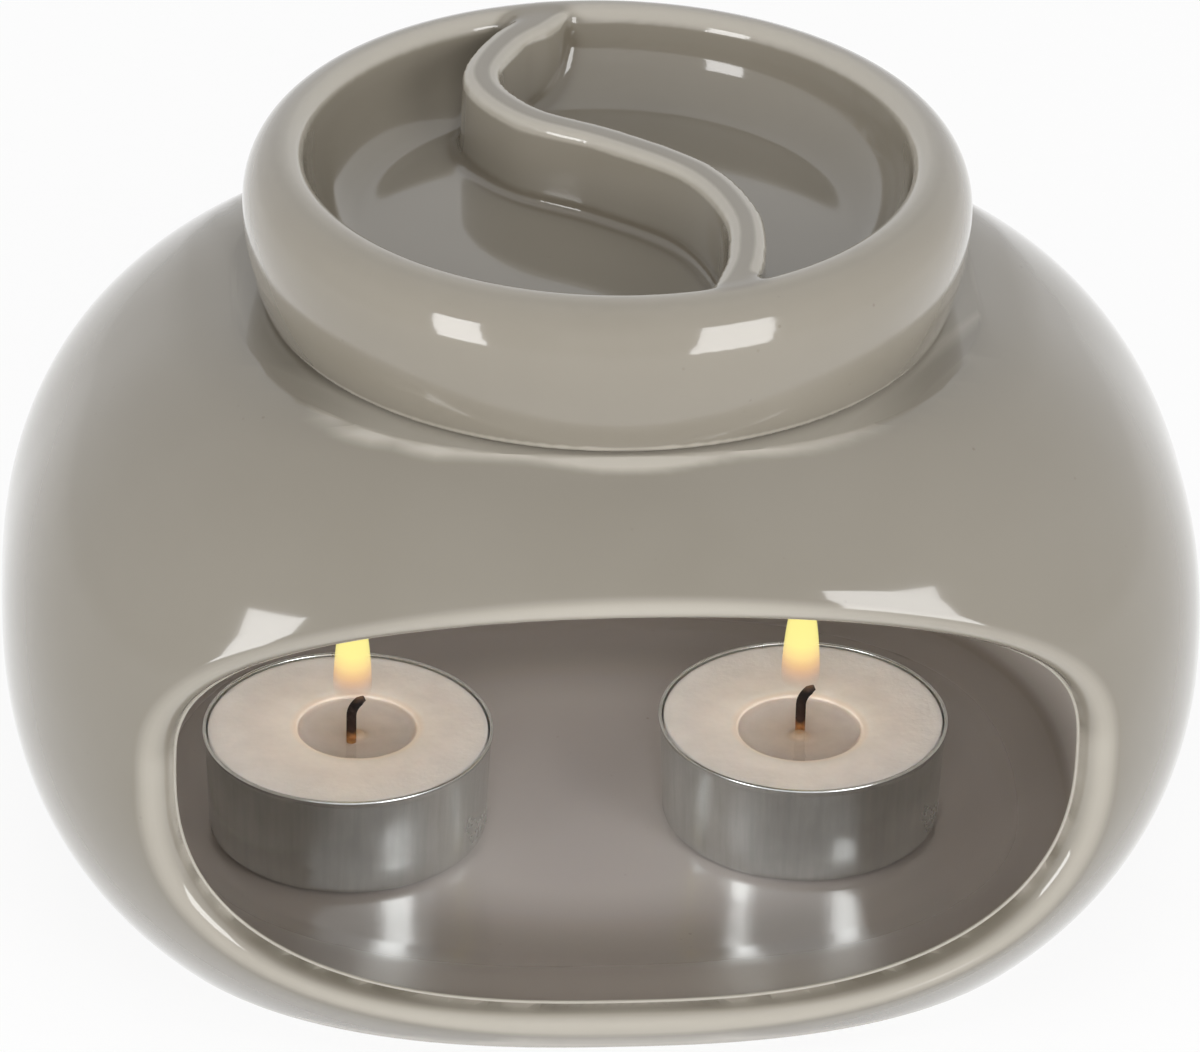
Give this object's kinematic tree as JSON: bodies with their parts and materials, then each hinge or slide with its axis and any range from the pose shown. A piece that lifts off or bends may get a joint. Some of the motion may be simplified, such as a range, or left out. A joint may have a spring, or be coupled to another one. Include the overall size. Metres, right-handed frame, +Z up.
{
  "type": "essential oil burner",
  "caption": "Pebble-shaped glazed ceramic oil burner with a wide front opening, a lift-off dish split by an S-shaped wall, and tealights inside.",
  "frame": {"origin": "centre of the pebble's plan, on the flat base that it stands on", "axes": "+Z up through the dish; the front opening faces -Y; +X runs to the right hand of someone who looks into the opening"},
  "size_m": [0.1534, 0.1214, 0.0996],
  "materials": {
    "body_glaze": "glossy",
    "dish_glaze": "glossy",
    "cup_aluminium": "satin",
    "candle_wax": "satin",
    "burnt_wick": "matte",
    "holder_steel": "satin"
  },
  "bodies": {
    "body": {"burner_body": "body_glaze"},
    "dish": {"oil_dish": "dish_glaze"},
    "tealight_left": {"tealight_cup_left": "cup_aluminium", "tealight_wax_left": "candle_wax", "tealight_wick_left": "burnt_wick", "wick_holder_left": "holder_steel"},
    "tealight_right": {"tealight_cup_right": "cup_aluminium", "tealight_wax_right": "candle_wax", "tealight_wick_right": "burnt_wick", "wick_holder_right": "holder_steel"}
  },
  "joints": [
    {"name": "dish_lift", "type": "slide", "parent": "body", "child": "dish", "axis": [0, 0, 1], "range_m": [0, 0.03]},
    {"name": "tealight_left_slide", "type": "slide", "parent": "body", "child": "tealight_left", "axis": [0.0741, -0.9259, 0.3704], "range_m": [0, 0.085]},
    {"name": "tealight_right_slide", "type": "slide", "parent": "body", "child": "tealight_right", "axis": [-0.0741, -0.9259, 0.3704], "range_m": [0, 0.085]}
  ]
}
